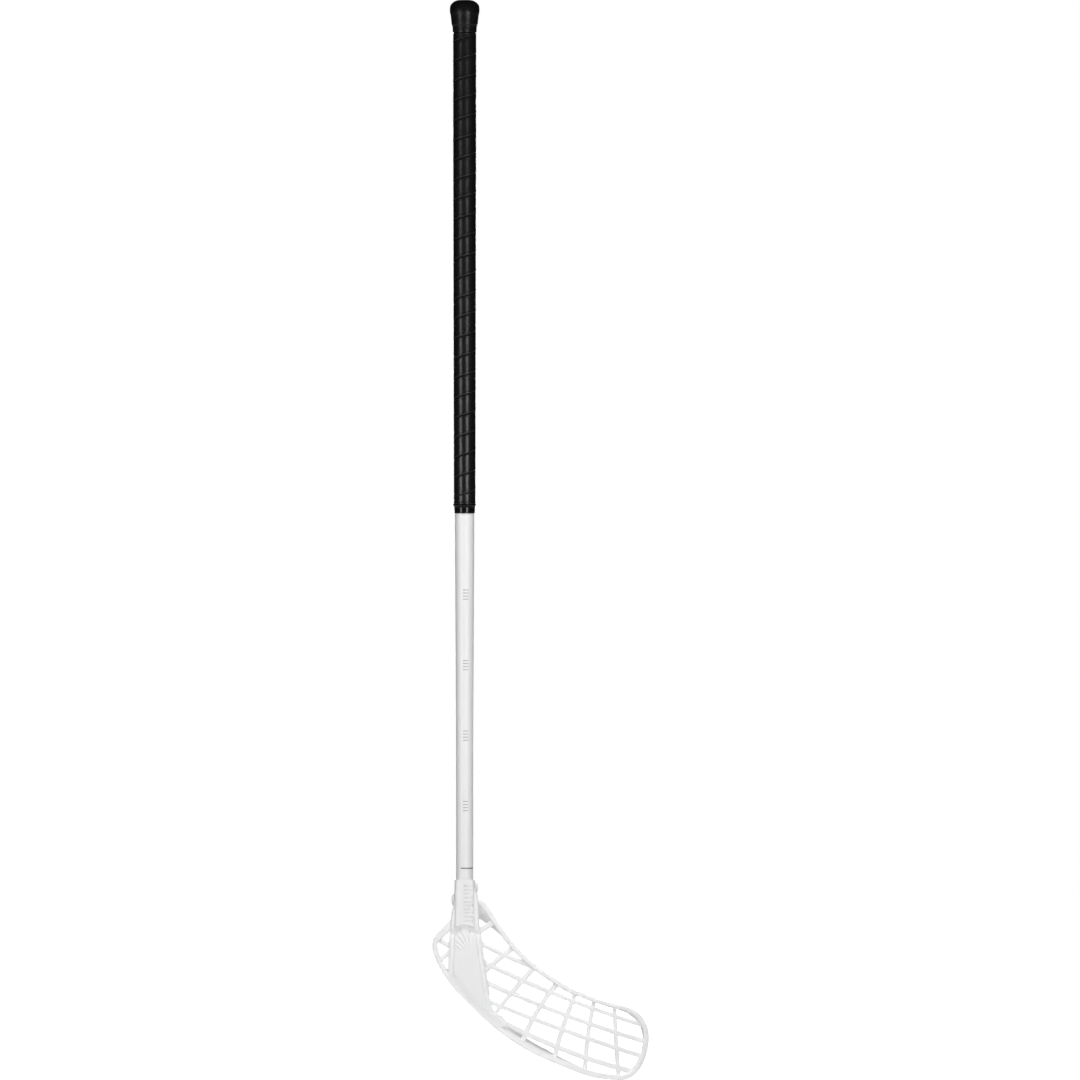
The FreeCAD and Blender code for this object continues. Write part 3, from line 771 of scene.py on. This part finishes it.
def screw_hole(z, way):
    """Room for a screw: a hole for its shank and a wider one for its head, carried round its axis."""
    seat = BOSS_FACE - SCREW_HEAD_HEIGHT
    end = BOSS_FACE + HOLE_OVERRUN
    shank = SCREW_RADIUS + SCREW_CLEARANCE
    head = SCREW_HEAD_RADIUS + HEAD_CLEARANCE
    return along_x(np.array([(0, 0), (0, shank), (seat, shank), (seat, head), (end, head), (end, 0)]), z, way)


def screw_holes():
    """Room for both screws."""
    return [screw_hole(z, way) for z, way, foot in SCREWS.values()]


def make_blade():
    """One moulding: neck, wings, tongue, bosses, rim and ribs grown together with small fillets and thinned
    out, then the socket, the screw holes and the ladder cut out of it."""
    rim, curve = rim_skin()
    fence = curve + outline_normals(curve, closed=True) * RIB_INSET
    skins = [barrel_skin(), wing_skin(), tongue_skin(), rim]
    skins += [boss_skin(*screw) for screw in SCREWS.values()]
    skins += [rib_skin(rib, fence) for rib in LONG_RIBS + CROSS_RIBS]
    piece = new_piece("blade_moulding", skins)
    grown = piece.modifiers.new("grown_together", "REMESH")
    grown.mode = "VOXEL"
    grown.voxel_size = VOXEL * MM
    fillets = piece.modifiers.new("fillets", "SMOOTH")
    fillets.factor = FILLET_STRENGTH
    fillets.iterations = FILLET_ROUNDS
    thinned = piece.modifiers.new("thinned", "DECIMATE")
    thinned.ratio = THINNING
    settle(piece)
    socket = np.array([
        (0, SHAFT_FOOT),
        (SOCKET_RADIUS, SHAFT_FOOT),
        (SOCKET_RADIUS, NECK_TOP - SOCKET_MOUTH),
        (SOCKET_RADIUS + SOCKET_MOUTH, NECK_TOP),
        (2 * SOCKET_RADIUS, NECK_TOP),
        (2 * SOCKET_RADIUS, NECK_TOP + 3 * TRIM),
        (0, NECK_TOP + 3 * TRIM),
    ])
    cut(piece, [turned(socket)], screw_holes(), ladder_skins())
    mend(piece)
    crisp(piece, 45)
    return piece


# Screws

def recess_bar(across, along):
    """Mask of one bar of a screw's cross recess: 1 inside it and 0 outside, with soft edges."""
    sides = smooth_step(RECESS_EDGE, -RECESS_EDGE, np.abs(across) - RECESS_HALF)
    return sides * smooth_step(RECESS_EDGE, -RECESS_EDGE, np.abs(along) - RECESS_REACH)


def make_screw(node, z, way):
    """Pan-head screw carried round its own axis from the head's middle to the tip. The cross recess lowers
    the head inside two crossed bars, and the thread adds a triangle wave of angle and distance to the
    core."""
    top = np.linspace(0, SCREW_FLAT, SCREW_FLAT_ROWS)
    head = np.concatenate([np.stack([top, 0 * top], 1), SCREW_BRIM])
    end = SCREW_HEAD_HEIGHT + SCREW_LENGTH
    down = np.linspace(SCREW_HEAD_HEIGHT, end, SCREW_ROWS)
    angle = np.arange(SCREW_STEPS)[None] * 2 * math.pi / SCREW_STEPS
    phase = (down[:, None] - SCREW_HEAD_HEIGHT) / THREAD_PITCH - angle / (2 * math.pi)
    crest = np.clip(THREAD_GAIN * np.abs((phase % 1) - 0.5) * 2 - THREAD_FLOOR, 0, 1)
    taper = np.clip((end - down) / SCREW_TIP, SCREW_POINT, 1)[:, None]
    shank = (SCREW_CORE + (SCREW_RADIUS - SCREW_CORE) * crest) * taper
    radius = np.concatenate([head[:, :1] + 0 * angle, shank, 0 * angle])
    depth = np.concatenate([head[:, 1], down, down[-1:]])[:, None] + 0 * angle
    y, up = radius * np.cos(angle), radius * np.sin(angle)
    cross = np.maximum(recess_bar(y, up), recess_bar(up, y))
    sunk = RECESS_DEPTH * cross * smooth_step(*RECESS_FADE, radius)
    depth[: len(top)] += sunk[: len(top)]
    rings = np.stack([way * (BOSS_FACE - depth), y, z + up], axis=-1)
    piece = new_piece(node.replace("blade_screw", "neck_screw"), [skin(rings)])
    crisp(piece, 40)
    return piece


# Nodes

def add(tree, kind, inputs=(), **settings):
    """New node with its settings and its inputs, which are values or other nodes' sockets."""
    node = tree.nodes.new(kind)
    for key, value in settings.items():
        setattr(node, key, value)
    for key, value in dict(inputs).items():
        if isinstance(value, bpy.types.NodeSocket):
            tree.links.new(value, node.inputs[key])
        else:
            node.inputs[key].default_value = value
    return node


def maths(tree, operation, *values):
    """Socket of a Math node."""
    return add(tree, "ShaderNodeMath", enumerate(values), operation=operation).outputs[0]


def beside(tree, value, span):
    """Socket that is 1 where a value lies within a reach of a middle, and 0 elsewhere."""
    return maths(tree, "COMPARE", value, *span)


def remap(tree, value, after, before=(0.0, 1.0)):
    """Socket that carries one range of values over to another and holds its ends."""
    inputs = {"Value": value, "From Min": before[0], "From Max": before[1]}
    inputs.update({"To Min": after[0], "To Max": after[1]})
    return add(tree, "ShaderNodeMapRange", inputs).outputs["Result"]


def mixed(tree, share, first, second):
    """Socket of two colours mixed by a share."""
    return add(tree, "ShaderNodeMix", {0: share, 6: first, 7: second}, data_type="RGBA").outputs[2]


def noise(tree, vector, scale, detail, roughness=0.5):
    """Socket of a noise about one half."""
    inputs = {"Vector": vector, "Scale": scale, "Detail": detail, "Roughness": roughness}
    return add(tree, "ShaderNodeTexNoise", inputs).outputs["Fac"]


def coordinates(tree, kind):
    """Socket of one kind of texture coordinates."""
    return add(tree, "ShaderNodeTexCoord").outputs[kind]


def split(tree, vector):
    """Sockets of a vector's three parts."""
    return add(tree, "ShaderNodeSeparateXYZ", {"Vector": vector}).outputs


def grey(value, warm=0.0):
    """Colour of a grey, a little warm or cool."""
    return (value * (1 + warm), value, value * (1 - warm), 1)


def new_group(name, size, outputs):
    """Empty shader group that takes a place and a size: the group, both inputs and the output node."""
    group = bpy.data.node_groups.new(name, "ShaderNodeTree")
    group.interface.new_socket("Vector", in_out="INPUT", socket_type="NodeSocketVector")
    group.interface.new_socket(size, in_out="INPUT", socket_type="NodeSocketFloat")
    for key in outputs:
        group.interface.new_socket(key, in_out="OUTPUT", socket_type="NodeSocketFloat")
    given = group.nodes.new("NodeGroupInput").outputs
    return group, given["Vector"], given[size], group.nodes.new("NodeGroupOutput")


def pebble_group():
    """Pebbled rubber skin: rounded cells with a finer noise over them, and a slow drift for tone and
    gloss."""
    group, place, cells, made = new_group("pebbled_skin", "Cells", ["Height", "Drift"])
    inputs = {"Vector": place, "Scale": cells, "Smoothness": 0.6}
    pebble = add(group, "ShaderNodeTexVoronoi", inputs, feature="SMOOTH_F1")
    fine = noise(group, place, maths(group, "MULTIPLY", cells, 2.7), 4)
    slow = noise(group, place, maths(group, "MULTIPLY", cells, 0.045), 5)
    dome = maths(group, "SUBTRACT", 1.0, pebble.outputs["Distance"])
    group.links.new(maths(group, "MULTIPLY_ADD", fine, 0.45, dome), made.inputs["Height"])
    group.links.new(slow, made.inputs["Drift"])
    return group


def moulded_group():
    """Moulded or sprayed skin: a shallow orange peel, a slow drift for tone and gloss, and thin rubs along
    one way."""
    group, place, waves, made = new_group("moulded_skin", "Waves", ["Height", "Drift", "Rubs"])
    peel = noise(group, place, waves, 3, 0.45)
    slow = noise(group, place, maths(group, "MULTIPLY", waves, 0.03), 6)
    inputs = {"Vector": place, "Rotation": (0.3, 0.5, 0.2), "Scale": (1.0, 0.06, 0.5)}
    drawn_out = add(group, "ShaderNodeMapping", inputs).outputs["Vector"]
    rubs = noise(group, drawn_out, maths(group, "MULTIPLY", waves, 0.8), 7, 0.7)
    group.links.new(peel, made.inputs["Height"])
    group.links.new(slow, made.inputs["Drift"])
    group.links.new(remap(group, rubs, (0.0, 1.0), (0.63, 0.76)), made.inputs["Rubs"])
    return group


def place_group(tree, group, inputs):
    """Sockets of a shared group in a material with its own values."""
    return add(tree, "ShaderNodeGroup", inputs, node_tree=group).outputs


# Materials

def new_material(name, settings):
    """Material with its Principled shader, whose even values are set on its own sockets."""
    material = bpy.data.materials.new(name)
    material.use_nodes = True
    tree = material.node_tree
    shader = tree.nodes["Principled BSDF"]
    for key, value in settings.items():
        shader.inputs[key].default_value = value
    return material, tree, shader


def set_surface(tree, shader, tone, gloss, height, relief):
    """Colour, roughness and bump of a shader, with the bump's relief in millimetres."""
    bump = add(tree, "ShaderNodeBump", {"Height": height, "Distance": relief * MM, "Strength": 1.0})
    tree.links.new(tone, shader.inputs["Base Color"])
    tree.links.new(gloss, shader.inputs["Roughness"])
    tree.links.new(bump.outputs["Normal"], shader.inputs["Normal"])


def lacquer_material(moulded):
    """White lacquer on the shaft: slow drift of tone, orange peel, groups of short pale ticks and one thin
    line round the front above the neck."""
    even = {"IOR": 1.5, "Coat Weight": 0.15, "Coat Roughness": 0.3}
    material, tree, shader = new_material("white_lacquer", even)
    spot = coordinates(tree, "Object")
    peel = place_group(tree, moulded, {"Vector": spot, "Waves": 900.0})
    axes = split(tree, spot)
    turn = maths(tree, "ARCTAN2", axes["X"], maths(tree, "MULTIPLY", axes["Y"], -1.0))
    row = maths(tree, "MODULO", maths(tree, "ADD", axes["Z"], TICK_LIFT), TICK_ROW_PITCH)
    ticks = maths(tree, "LESS_THAN", maths(tree, "MODULO", row, TICK_PITCH), TICK_WIDTH)
    for value, span in ((row, TICK_ROW_SPAN), (turn, TICK_TURN), (axes["Z"], TICK_LEVELS)):
        ticks = maths(tree, "MULTIPLY", ticks, beside(tree, value, span))
    line = maths(tree, "MULTIPLY", beside(tree, axes["Z"], LINE_LEVEL), beside(tree, turn, LINE_TURN))
    upper = mixed(tree, peel["Drift"], grey(0.81), grey(0.85, 0.004))
    lower = mixed(tree, peel["Drift"], grey(0.82), grey(0.86, 0.004))
    tone = mixed(tree, remap(tree, axes["Z"], (0.0, 1.0), SHAFT_TONE_LEVELS), lower, upper)
    tone = mixed(tree, ticks, tone, grey(0.4))
    tone = mixed(tree, line, tone, grey(0.06))
    gloss = maths(tree, "MULTIPLY_ADD", peel["Rubs"], 0.12, remap(tree, peel["Drift"], (0.3, 0.42)))
    set_surface(tree, shader, tone, gloss, peel["Height"], 0.02)
    return material


def tape_material(pebbled):
    """Black grip tape: pebbled grain that follows the wound band, fine lines along it, painted shade along
    the seams, which are also rougher, and patches polished by hands."""
    material, tree, shader = new_material("grip_tape_polymer", {"IOR": 1.54})
    spot = coordinates(tree, "UV")
    grain = place_group(tree, pebbled, {"Vector": spot, "Cells": 1.15})
    across = split(tree, spot)["Y"]
    lines = maths(tree, "SINE", maths(tree, "MULTIPLY", across, 2 * math.pi / TAPE_LINE_PITCH))
    height = maths(tree, "MULTIPLY_ADD", lines, 0.10, grain["Height"])
    off_middle = maths(tree, "ABSOLUTE", maths(tree, "SUBTRACT", across, TAPE_MIDDLE))
    seam = remap(tree, off_middle, (0.0, 1.0), TAPE_SEAM)
    tone = mixed(tree, grain["Drift"], grey(0.0008), grey(0.002))
    # Painted shade: the tape is darker along its seams, where the lapped edge shades the turn below
    tone = mixed(tree, seam, tone, grey(0.0006))
    gloss = maths(tree, "MULTIPLY_ADD", seam, 0.2, remap(tree, grain["Drift"], (0.22, 0.3)))
    set_surface(tree, shader, tone, gloss, height, 0.06)
    return material


def rubber_material(name, pebbled, cells, tones, glosses, relief):
    """Black rubber: a fine grain, and a slow drift of tone and gloss between two values each."""
    material, tree, shader = new_material(name, {"IOR": 1.36})
    grain = place_group(tree, pebbled, {"Vector": coordinates(tree, "Object"), "Cells": cells})
    tone = mixed(tree, grain["Drift"], grey(tones[0]), grey(tones[1]))
    gloss = remap(tree, grain["Drift"], glosses)
    set_surface(tree, shader, tone, gloss, grain["Height"], relief)
    return material


def blade_material(moulded):
    """White satin plastic that lets a little light through: a fine moulded skin, a slow drift of tone, a
    paler tone towards the tip that is painted light, and faint rubs in tone and gloss."""
    even = {"IOR": 1.5, "Subsurface Weight": 0.3, "Subsurface Radius": (1, 1, 1), "Subsurface Scale": 0.003}
    material, tree, shader = new_material("blade_polyethylene", even)
    spot = coordinates(tree, "Object")
    grain = place_group(tree, moulded, {"Vector": spot, "Waves": 1400.0})
    # Painted light: the tone turns to a near white towards the tip, as if the tip caught more light
    tip_light = remap(tree, split(tree, spot)["X"], (0.0, 0.7), BLADE_TIP_LIGHT_REACH)
    tone = mixed(tree, grain["Drift"], grey(0.87, -0.003), grey(0.91))
    tone = mixed(tree, tip_light, tone, grey(0.97))
    tone = mixed(tree, maths(tree, "MULTIPLY", grain["Rubs"], 0.25), tone, grey(0.72))
    gloss = maths(tree, "MULTIPLY_ADD", grain["Rubs"], 0.15, remap(tree, grain["Drift"], (0.36, 0.48)))
    set_surface(tree, shader, tone, gloss, grain["Height"], 0.03)
    return material


def screw_material(moulded):
    """Zinc-plated steel: a slow drift of tone between its grains and rub marks in its gloss."""
    material, tree, shader = new_material("zinc_plate", {"Metallic": 1.0})
    grain = place_group(tree, moulded, {"Vector": coordinates(tree, "Object"), "Waves": 3000.0})
    tone = mixed(tree, grain["Drift"], grey(0.48), grey(0.62, 0.03))
    gloss = maths(tree, "MULTIPLY_ADD", grain["Rubs"], 0.2, remap(tree, grain["Drift"], (0.22, 0.36)))
    set_surface(tree, shader, tone, gloss, grain["Height"], 0.01)
    return material


# Studio

def make_floor():
    """Pale floor just under the blade, a flat square lifted to the backdrop's white by its own light."""
    corners = [(-1, -1), (1, -1), (1, 1), (-1, 1)]
    z = CAD_BOX[0].z - FLOOR_GAP
    mesh = bpy.data.meshes.new("studio_floor")
    mesh.from_pydata([(FLOOR_REACH * x, FLOOR_REACH * y, z) for x, y in corners], [], [(0, 1, 2, 3)])
    floor = bpy.data.objects.new("studio_floor", mesh)
    bpy.context.scene.collection.objects.link(floor)
    even = {"Base Color": grey(0.6), "Roughness": 0.9, "Emission Color": grey(1.0)}
    material, tree, shader = new_material("pale_floor", even)
    seen = add(tree, "ShaderNodeLightPath").outputs["Is Camera Ray"]
    tree.links.new(remap(tree, seen, FLOOR_GLOW), shader.inputs["Emission Strength"])
    mesh.materials.append(material)


def make_light(name, spot, target, size, power, glossy):
    """Rectangular soft box at a place, turned to a target, with or without a reflection of its own."""
    data = bpy.data.lights.new(name, "AREA")
    data.shape = "RECTANGLE"
    data.size, data.size_y = size
    data.energy = power
    lamp = bpy.data.objects.new(name, data)
    lamp.location = spot
    lamp.visible_glossy = glossy
    lamp.rotation_euler = (Vector(target) - lamp.location).to_track_quat("-Z", "Y").to_euler()
    bpy.context.scene.collection.objects.link(lamp)


def make_world():
    """White backdrop to the camera, and to everything else a dim light that falls off from front to back."""
    world = bpy.data.worlds.new("studio")
    bpy.context.scene.world = world
    world.use_nodes = True
    tree = world.node_tree
    backdrop = tree.nodes["Background"]
    seen = add(tree, "ShaderNodeLightPath").outputs["Is Camera Ray"]
    dim = remap(tree, split(tree, coordinates(tree, "Generated"))["Y"], BACKDROP_LIGHT, BACKDROP_FALL)
    backdrop.inputs["Color"].default_value = grey(1.0)
    tree.links.new(maths(tree, "MAXIMUM", seen, dim), backdrop.inputs["Strength"])


def make_camera():
    """Level camera opposite the middle of the stick's picture."""
    data = bpy.data.cameras.new("photo_camera")
    data.sensor_width = CAMERA_SENSOR
    data.lens = CAMERA_SENSOR * CAMERA_DISTANCE / FRAME_WIDTH
    camera = bpy.data.objects.new("photo_camera", data)
    camera.location = (FRAME_MIDDLE[0], -CAMERA_DISTANCE, FRAME_MIDDLE[1])
    camera.rotation_euler = (math.pi / 2, 0, 0)
    bpy.context.scene.collection.objects.link(camera)
    bpy.context.scene.camera = camera


pebbled_skin = pebble_group()
moulded_skin = moulded_group()
knob_rubber = rubber_material("knob_rubber", pebbled_skin, 1600.0, (0.001, 0.003), (0.26, 0.4), 0.03)
collar_rubber = rubber_material("collar_rubber", pebbled_skin, 2200.0, (0.0005, 0.001), (0.12, 0.22), 0.015)
zinc = screw_material(moulded_skin)

dress(make_shaft(), "stick", "shaft", lacquer_material(moulded_skin))
dress(make_grip(), "stick", "grip_tape", tape_material(pebbled_skin))
dress(make_knob(), "end_cap", "end_cap", knob_rubber)
dress(make_collar(), "stick", "grip_collar", collar_rubber)
dress(make_blade(), "stick", "blade", blade_material(moulded_skin))
for screw_name, (screw_level, screw_way, boss_foot) in SCREWS.items():
    dress(make_screw(screw_name, screw_level, screw_way), screw_name, screw_name, zinc)

make_floor()
for box_name, box in SOFT_BOXES.items():
    make_light(box_name, *box)
make_world()
make_camera()
bpy.context.scene.view_settings.view_transform = "Standard"
